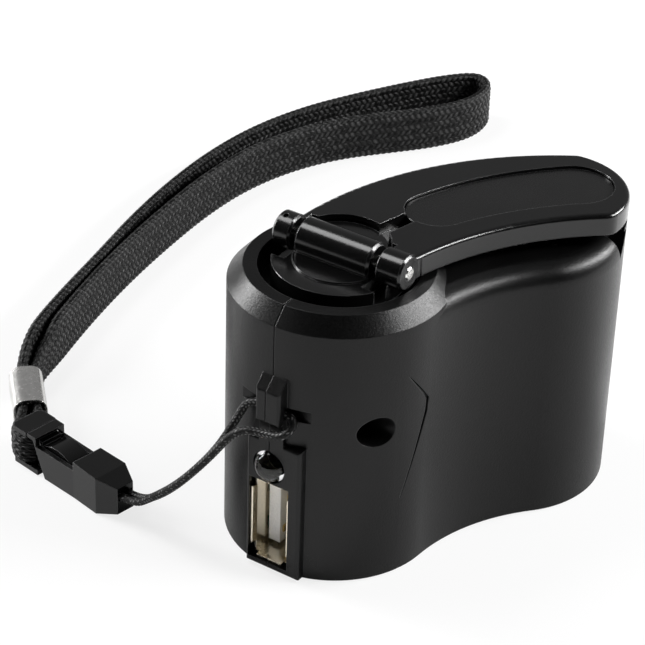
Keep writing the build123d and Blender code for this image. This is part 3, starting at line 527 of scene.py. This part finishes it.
FINISHES = {
    "shell_plastic": Moulded("shell_plastic", 0.0014, 0.0030, 0.27, 0.40, gloss=0.22, per_metre=3600, relief_mm=0.030, painted_highlight_level=0.03),
    "crank_plastic": Moulded("crank_plastic", 0.0022, 0.0038, 0.15, 0.24, gloss=0.46, per_metre=4200, relief_mm=0.004, painted_highlight_level=0.09),
    "inlay_plastic": Moulded("inlay_plastic", 0.0028, 0.0048, 0.22, 0.32, gloss=0.5, per_metre=5200, relief_mm=0.006, painted_highlight_level=0.09),
    "buckle_plastic": Moulded("buckle_plastic", 0.0022, 0.0040, 0.14, 0.22, gloss=0.46, per_metre=3000, relief_mm=0.004, painted_highlight_level=0.12),
    "chip_black": Moulded("chip_black", 0.02, 0.03, 0.4, 0.5),
    "gear_plastic": Moulded("gear_plastic", 0.70, 0.80, 0.3, 0.4, painted_highlight_level=0.85, tint=(1.0, 0.99, 0.94)),
    "socket_white": Moulded("socket_white", 0.90, 0.95, 0.25, 0.35, painted_highlight_level=0.95, tint=(1.0, 0.99, 0.97)),
    "board_green": Moulded("board_green", 0.16, 0.22, 0.2, 0.3, painted_highlight_level=0.3, tint=(0.25, 1.0, 0.5)),
    "lamp_core": Moulded("lamp_core", 0.60, 0.78, 0.3, 0.4, painted_highlight_level=0.8, tint=(1.0, 0.93, 0.60)),
    "dark_screw": Plated("dark_screw", (0.16, 0.16, 0.17), 0.28, 0.42),
    "bright_metal": Plated("bright_metal", (0.92, 0.91, 0.89), 0.18, 0.30, relief_mm=0.001),
    "shaft_steel": Plated("shaft_steel", (0.58, 0.58, 0.57), 0.2, 0.32),
    "plate_steel": Plated("plate_steel", (0.62, 0.62, 0.60), 0.25, 0.4),
    "core_iron": Plated("core_iron", (0.22, 0.22, 0.23), 0.4, 0.55),
    "magnet": Plated("magnet", (0.12, 0.12, 0.13), 0.5, 0.65),
    "coil_copper": Plated("coil_copper", (0.80, 0.40, 0.22), 0.2, 0.35),
    "bush_brass": Plated("bush_brass", (0.80, 0.64, 0.34), 0.2, 0.32),
    "socket_nickel": Plated("socket_nickel", (0.94, 0.86, 0.70), 0.16, 0.30, relief_mm=0.001),
    "contact_gold": Plated("contact_gold", (0.90, 0.68, 0.30), 0.12, 0.22, relief_mm=0.001),
    "can_aluminium": Plated("can_aluminium", (0.80, 0.80, 0.81), 0.2, 0.3),
    "lamp_clear": ClearDome("lamp_clear"),
    # Braids: pitches, slant and yarn, then the gap colour with its painted shade, the stitch colour, the painted glint
    # colour and the relief.
    "cord_braid": Braided("cord_braid", 0.62, 0.45, 0.5, 0.10, 0.001, 0.003, 0.11, 0.06, smooth=0.3, rough=0.6),
    "strap_braid": Braided("strap_braid", 1.12, 1.0, 0.55, 0.17, 0.0006, 0.0025, 0.030, 0.16, smooth=0.3, rough=0.6),
}


class Palette:
    """The finished materials, by the record's slot names."""

    def __init__(self, effects: Effects) -> None:
        """Build every finish.

        Args:
            effects: The shared node groups.
        """
        self.materials = {name: finish.build(effects) for name, finish in FINISHES.items()}

    def dress(self, piece: bpy.types.Object, slot: str) -> None:
        """Give a piece one finish.

        Args:
            piece: The mesh object.
            slot: The record's slot name.
        """
        piece.data.materials.clear()
        piece.data.materials.append(self.materials[slot])


# ---- camera ----------------------------------------------------------------------------------------------------------


@dataclass
class Viewpoint:
    """The photograph's camera."""

    place: tuple[float, float, float] = (-0.2343, -0.1513, 0.2070)
    right: tuple[float, float, float] = (0.5634, -0.8257, 0.0285)
    up: tuple[float, float, float] = (0.4256, 0.3196, 0.8465)
    back: tuple[float, float, float] = (-0.7081, -0.4647, 0.5315)
    lens_mm: float = 137.34
    sensor_mm: float = 36.0

    def build(self) -> bpy.types.Object:
        """Make the camera and look through it.

        Returns:
            The camera object.
        """
        data = bpy.data.cameras.new("camera")
        data.lens, data.sensor_width = self.lens_mm, self.sensor_mm
        data.clip_start, data.clip_end = 0.01, 20.0
        camera = bpy.data.objects.new("camera", data)
        turn = Matrix((self.right, self.up, self.back)).transposed().to_4x4()
        camera.matrix_world = Matrix.Translation(self.place) @ turn
        bpy.context.scene.collection.objects.link(camera)
        bpy.context.scene.camera = camera
        return camera


# ---- soft parts ------------------------------------------------------------------------------------------------------


def read_route(points_mm: list[tuple[float, float, float]]) -> list[Vector]:
    """Follow a smooth line whose control points are a route's points.

    Args:
        points_mm: The route's points in millimetres.

    Returns:
        Points along the line, in metres.
    """
    data = bpy.data.curves.new("route", "CURVE")
    data.dimensions = "3D"
    spline = data.splines.new("NURBS")
    spline.points.add(len(points_mm) - 1)
    for point, place in zip(spline.points, points_mm):
        point.co = (*(c * MM for c in place), 1.0)
    spline.order_u = 3
    spline.use_endpoint_u = True
    spline.resolution_u = 16
    guide = bpy.data.objects.new("route", data)
    bpy.context.scene.collection.objects.link(guide)
    bpy.context.view_layer.update()
    mesh = bpy.data.meshes.new_from_object(guide)
    line = [v.co.copy() for v in mesh.vertices]
    bpy.data.meshes.remove(mesh)
    bpy.data.objects.remove(guide)
    bpy.data.curves.remove(data)
    return line


def even_steps(line: list[Vector], step: float) -> tuple[list[Vector], list[float]]:
    """Read a line again at even distances.

    Args:
        line: The line's points.
        step: The distance wanted between two points.

    Returns:
        The new points and how far along the line each one lies.
    """
    runs = [0.0]
    for before, after in zip(line, line[1:]):
        runs.append(runs[-1] + (after - before).length)
    count = max(2, round(runs[-1] / step))
    made, places, at = [], [], 0
    for number in range(count + 1):
        want = runs[-1] * number / count
        while at < len(runs) - 2 and runs[at + 1] < want:
            at += 1
        span = max(runs[at + 1] - runs[at], 1e-12)
        made.append(line[at].lerp(line[at + 1], min(1.0, (want - runs[at]) / span)))
        places.append(want)
    return made, places


def skin(name: str, rings: list[list[Vector]], places_mm: list[float], around_mm: list[list[float]]) -> bpy.types.Object:
    """Join rings of points into a closed tube with a map in millimetres.

    Args:
        name: The piece's name.
        rings: One closed ring of points at each step.
        places_mm: How far along the piece each ring lies.
        around_mm: For each ring, how far round each point lies, with one more for the way back to the start.

    Returns:
        The mesh object.
    """
    size = len(rings[0])
    points = [p for ring in rings for p in ring]
    faces, mapping = [], []
    for row in range(len(rings) - 1):
        for item in range(size):
            after = (item + 1) % size
            faces.append((row * size + item, row * size + after, (row + 1) * size + after, (row + 1) * size + item))
            mapping += [
                (places_mm[row], around_mm[row][item]),
                (places_mm[row], around_mm[row][item + 1]),
                (places_mm[row + 1], around_mm[row + 1][item + 1]),
                (places_mm[row + 1], around_mm[row + 1][item]),
            ]
    for row, flip in ((0, True), (len(rings) - 1, False)):
        cap = [row * size + item for item in range(size)]
        faces.append(tuple(reversed(cap)) if flip else tuple(cap))
        marks = [(places_mm[row], around_mm[row][item]) for item in range(size)]
        mapping += list(reversed(marks)) if flip else marks
    mesh = bpy.data.meshes.new(name)
    mesh.from_pydata([tuple(p) for p in points], [], faces)
    layer = mesh.uv_layers.new(name="map_mm")
    for loop, place in enumerate(mapping):
        layer.data[loop].uv = place
    mesh.update()
    for polygon in mesh.polygons:
        polygon.use_smooth = True
    piece = bpy.data.objects.new(name, mesh)
    bpy.context.scene.collection.objects.link(piece)
    return piece


def stitch_height(run_mm: float, side_mm: float, along_mm: float, across_mm: float, slant: float) -> float:
    """Height of a braid's stitches, from 0 in a gap to 1 on a crown, as the braid node group draws them.

    Args:
        run_mm: Place along the braid.
        side_mm: Place across or round it.
        along_mm: Stitch pitch along.
        across_mm: Row pitch across.
        slant: How far a stitch leans.

    Returns:
        The height.
    """
    row = math.floor(side_mm / across_mm)
    y = side_mm / across_mm - row - 0.5
    odd = row % 2
    shifted = run_mm / along_mm + y * (2 * odd - 1) * slant + 0.5 * odd
    x = shifted - math.floor(shifted) - 0.5
    return max(0.0, math.cos(math.pi * x)) ** 1.3 * max(0.0, math.cos(math.pi * y)) ** 0.7


@dataclass
class WristCord:
    """The doubled cord that runs from the post to the buckle."""

    diameter: float = 1.15 * MM
    sides: int = 28
    step: float = 0.11 * MM
    relief: float = 0.045 * MM
    over_post: list[tuple[float, float, float]] = field(default_factory=lambda: [
        (-14.68, 0.4, 26.35), (-14.68, -3.9, 26.35), (-16.75, -3.3, 23.9), (-16.55, 0.0, 23.2), (-17.5, 3.9, 23.0),
        (-19.0, 7.6, 17.2), (-19.4, 12.2, 11.4), (-19.1, 16.8, 7.0), (-18.24, 20.77, 3.6), (-17.64, 24.11, 3.6)])
    under_post: list[tuple[float, float, float]] = field(default_factory=lambda: [
        (-14.68, 0.4, 26.35), (-14.68, 3.9, 26.35), (-15.9, 4.9, 23.6), (-17.2, 7.2, 18.2), (-18.0, 11.8, 11.8),
        (-17.7, 16.2, 7.0), (-16.96, 20.54, 3.6), (-16.36, 23.89, 3.6)])

    def strand(self, name: str, points_mm: list[tuple[float, float, float]]) -> tuple[bpy.types.Object, list[Vector]]:
        """Build one strand of the cord.

        Args:
            name: The piece's name.
            points_mm: Its route.

        Returns:
            The piece and the points that it follows.
        """
        line, places = even_steps(read_route(points_mm), self.step)
        style = FINISHES["cord_braid"]
        rows = 8
        round_mm = rows * style.across_mm
        rings, around = [], []
        up = Vector((0, 0, 1))
        for number, place in enumerate(line):
            ahead = (line[min(number + 1, len(line) - 1)] - line[max(number - 1, 0)]).normalized()
            side = ahead.cross(up).normalized() if number == 0 else (side - ahead * side.dot(ahead)).normalized()
            lift = side.cross(ahead)
            ring = []
            for item in range(self.sides):
                angle = 2 * math.pi * item / self.sides
                height = stitch_height(places[number] / MM, round_mm * item / self.sides, style.along_mm, style.across_mm, style.slant)
                reach = self.diameter / 2 - self.relief + self.relief * 1.4 * height
                ring.append(place + (side * math.cos(angle) + lift * math.sin(angle)) * reach)
            rings.append(ring)
            around.append([round_mm * item / self.sides for item in range(self.sides + 1)])
        return skin(name, rings, [p / MM for p in places], around), line

    def build(self, palette: Palette) -> list[bpy.types.Object]:
        """Args:
            palette: The finished materials.

        Returns:
            The two pieces.
        """
        made = []
        for name, node, points in (
            ("cord_over_braid", "wrist_cord_over", self.over_post),
            ("cord_under_braid", "wrist_cord_under", self.under_post),
        ):
            piece, line = self.strand(name, points)
            palette.dress(piece, Slot.CORD.value)
            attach(piece, "housing")
            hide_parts(node)
            made.append(piece)
        return made


@dataclass
class WristStrap:
    """The flat braid that stands on its edge in one long loop."""

    thickness: float = 1.6 * MM
    width: float = 8.0 * MM
    gathered_width: float = 4.5 * MM
    gathered_low: float = 0.9 * MM
    low: float = 0.1 * MM
    step: float = 0.24 * MM
    relief: float = 0.11 * MM
    gather_mm: tuple[float, float] = (18.0, 30.0)
    route: list[tuple[float, float]] = field(default_factory=lambda: [
        (-14.03, 40.48), (-11.63, 40.06), (-11.11, 42.96), (-9.92, 45.05), (-1.87, 52.97), (8.00, 55.90),
        (20.00, 59.10), (32.50, 61.70), (45.50, 63.60), (58.00, 64.80), (69.00, 64.60), (79.00, 62.40),
        (88.00, 58.30), (95.50, 52.40), (102.50, 46.80), (109.50, 43.60), (116.00, 44.20), (118.60, 48.00),
        (113.60, 52.40), (106.00, 56.80), (97.50, 61.20), (88.00, 65.40), (77.00, 68.20), (65.00, 68.90),
        (52.00, 67.90), (39.00, 65.70), (27.00, 62.80), (15.00, 60.20), (4.60, 57.50), (-3.10, 54.23),
        (-11.15, 46.31), (-15.85, 44.52), (-16.50, 40.92), (-14.09, 40.50)])

    def openness(self, place_mm: float, total_mm: float) -> float:
        """How far the braid has opened out to its full width.

        Args:
            place_mm: Place along the strap.
            total_mm: The strap's length.

        Returns:
            0 where it is squeezed, 1 where it is flat.
        """
        first, last = self.gather_mm
        from_end = min(place_mm, total_mm - place_mm)
        share = min(1.0, max(0.0, (from_end - first) / (last - first)))
        return share * share * (3 - 2 * share)

    def section(self, half_width: float, half_thick: float) -> list[tuple[float, float, float, float]]:
        """Outline of the strap's cross-section.

        Args:
            half_width: Half its width.
            half_thick: Half its thickness.

        Returns:
            For each point: place across, place through, and the outward direction's two shares.
        """
        made = []
        flat_points, round_points = 30, 6
        straight = half_width - half_thick
        for side in (1, -1):
            for number in range(flat_points):
                share = number / flat_points
                made.append((side * straight * (1 - 2 * share), side * half_thick, 0.0, float(side)))
            for number in range(round_points):
                angle = math.pi * number / round_points
                across, through = -math.sin(angle), math.cos(angle)
                made.append((side * (-straight + across * half_thick), side * through * half_thick,
                             side * across, side * through))
        return made

    def build(self, palette: Palette) -> bpy.types.Object:
        """Args:
            palette: The finished materials.

        Returns:
            The piece.
        """
        line, places = even_steps(read_route([(x, y, 0.0) for x, y in self.route]), self.step)
        total = places[-1] / MM
        style = FINISHES["strap_braid"]
        rings, around, centre = [], [], []
        for number, place in enumerate(line):
            ahead = (line[min(number + 1, len(line) - 1)] - line[max(number - 1, 0)]).normalized()
            side = Vector((ahead.y, -ahead.x, 0))
            up = Vector((0, 0, 1))
            open_share = self.openness(places[number] / MM, total)
            half = (self.gathered_width + (self.width - self.gathered_width) * open_share) / 2
            low = self.gathered_low + (self.low - self.gathered_low) * open_share
            middle = Vector((place.x, place.y, low + half))
            centre.append(middle)
            outline = self.section(half, self.thickness / 2 - self.relief)
            scale = self.width / (2 * half)
            ring, marks, run = [], [], 0.0
            for item, (across, through, out_across, out_through) in enumerate(outline):
                if item:
                    before = outline[item - 1]
                    run += math.hypot(across - before[0], through - before[1]) / MM * scale
                height = stitch_height(places[number] / MM, run, style.along_mm, style.across_mm, style.slant)
                lift = self.relief * 1.5 * height
                point = up * (across + out_across * lift) + side * (through + out_through * lift)
                ring.append(middle + point)
                marks.append(run)
            first = outline[0]
            last = outline[-1]
            marks.append(run + math.hypot(first[0] - last[0], first[1] - last[1]) / MM * scale)
            rings.append(ring)
            around.append(marks)
        piece = skin("strap_braid_loop", rings, [p / MM for p in places], around)
        palette.dress(piece, Slot.STRAP.value)
        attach(piece, "strap_end")
        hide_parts("wrist_strap")
        return piece


# ---- the frame's own parts -------------------------------------------------------------------------------------------


@dataclass
class Frame:
    """The CAD nodes that show as they are, in better finishes."""

    loaded: dict

    def dress(self, palette: Palette) -> None:
        """Give every CAD node the finish of its slot.

        Args:
            palette: The finished materials.
        """
        for part in self.loaded["record"]["subparts"]:
            node = self.loaded["nodes"][part["node"]]
            palette.dress(node, part["material_slot"])
            LOG.info("%s: %s", part["node"], part["material_slot"])


# ---- studio ----------------------------------------------------------------------------------------------------------


@dataclass(frozen=True)
class Softbox:
    """One large lamp, turned to the object."""

    name: str
    toward: tuple[float, float, float]
    run: tuple[float, float, float]
    distance: float
    width: float
    height: float
    radiance: float

    def build(self, target: Vector) -> bpy.types.Object:
        """Hang the lamp.

        Args:
            target: The point that it faces.

        Returns:
            The lamp object.
        """
        data = bpy.data.lights.new(self.name, "AREA")
        data.shape = "RECTANGLE"
        data.size, data.size_y = self.width, self.height
        data.energy = self.radiance * math.pi * self.width * self.height
        lamp = bpy.data.objects.new(self.name, data)
        away = Vector(self.toward).normalized()
        lamp.location = target + away * self.distance
        side = (Vector(self.run) - away * away.dot(Vector(self.run))).normalized()
        lamp.matrix_world = Matrix.Translation(lamp.location) @ Matrix((side, away.cross(side), away)).transposed().to_4x4()
        bpy.context.scene.collection.objects.link(lamp)
        return lamp


@dataclass
class Studio:
    """Pale floor, white surround and soft lamps."""

    floor_half: float = 2.5
    floor_low: float = -0.00004
    floor_colour: float = 0.80
    floor_glow: float = 0.78
    surround_back: float = 0.22
    surround_front: float = 0.01
    softboxes: tuple[Softbox, ...] = (
        Softbox("softbox_left", (-0.16, 0.90, 0.38), (0.3, 0.1, 1.0), 0.55, 0.32, 0.15, 27.0),
        Softbox("softbox_right", (0.56, -0.65, 0.50), (0.7, 0.4, -0.46), 0.55, 0.50, 0.09, 42.0),
        Softbox("softbox_top", (-0.08, 0.46, 0.88), (1.0, 0.0, 0.0), 0.60, 0.26, 0.14, 9.0),
    )

    @staticmethod
    def seen_straight(graph: Graph) -> bpy.types.NodeSocket:
        """Whether a ray comes from the camera or through clear glass."""
        path = graph.add("ShaderNodeLightPath")
        return graph.math("MAXIMUM", path.outputs["Is Camera Ray"], path.outputs["Is Transmission Ray"])

    def build_floor(self) -> bpy.types.Object:
        """Lay the floor.

        Returns:
            The floor object.
        """
        half = self.floor_half
        mesh = bpy.data.meshes.new("floor")
        corners = [(-half, -half, 0), (half, -half, 0), (half, half, 0), (-half, half, 0)]
        mesh.from_pydata(corners, [], [(0, 1, 2, 3)])
        floor = bpy.data.objects.new("floor", mesh)
        floor.location.z = self.floor_low
        bpy.context.scene.collection.objects.link(floor)
        material = bpy.data.materials.new("pale_floor")
        material.use_nodes = True
        graph = Graph(material.node_tree)
        material.node_tree.nodes.clear()
        plain = graph.add("ShaderNodeBsdfDiffuse")
        plain.inputs["Color"].default_value = grey(self.floor_colour)
        glow = graph.add("ShaderNodeEmission")
        glow.inputs["Color"].default_value = grey(1.0)
        mixed = graph.add("ShaderNodeMixShader")
        graph.put(graph.math("MULTIPLY", self.seen_straight(graph), self.floor_glow), mixed.inputs[0])
        graph.put(plain.outputs[0], mixed.inputs[1])
        graph.put(glow.outputs[0], mixed.inputs[2])
        graph.put(mixed.outputs[0], graph.add("ShaderNodeOutputMaterial").inputs[0])
        mesh.materials.append(material)
        return floor

    def build_world(self) -> None:
        """White behind the object for the camera, and darker in front of it for the light."""
        world = bpy.data.worlds.new("studio")
        bpy.context.scene.world = world
        world.use_nodes = True
        graph = Graph(world.node_tree)
        world.node_tree.nodes.clear()
        way = graph.add("ShaderNodeTexCoord").outputs["Generated"]
        likeness = graph.add("ShaderNodeVectorMath", operation="DOT_PRODUCT")
        graph.put(way, likeness.inputs[0])
        likeness.inputs[1].default_value = (0.836, 0.549, 0.0)
        level = graph.ramp(likeness.outputs["Value"], -0.45, 0.55, self.surround_front, self.surround_back)
        camera = graph.add("ShaderNodeLightPath").outputs["Is Camera Ray"]
        background = graph.add("ShaderNodeBackground")
        background.inputs["Color"].default_value = grey(1.0)
        graph.put(graph.math("MAXIMUM", camera, level), background.inputs["Strength"])
        graph.put(background.outputs[0], graph.add("ShaderNodeOutputWorld").inputs[0])

    def build(self) -> None:
        """Build the floor, the surround and the lamps."""
        self.build_floor()
        self.build_world()
        for softbox in self.softboxes:
            softbox.build(Vector((0.01, 0.0, 0.02)))
        bpy.context.scene.view_settings.view_transform = "Standard"


# ---- whole scene -----------------------------------------------------------------------------------------------------


def main() -> None:
    """Build the camera, the soft parts, the finishes and the studio."""
    logging.basicConfig(level=logging.INFO, format="%(name)s: %(message)s")
    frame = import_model()
    Viewpoint().build()
    palette = Palette(Effects())
    WristCord().build(palette)
    WristStrap().build(palette)
    Frame(frame).dress(palette)
    Studio().build()
    bpy.context.view_layer.update()


if __name__ == "__main__":
    main()
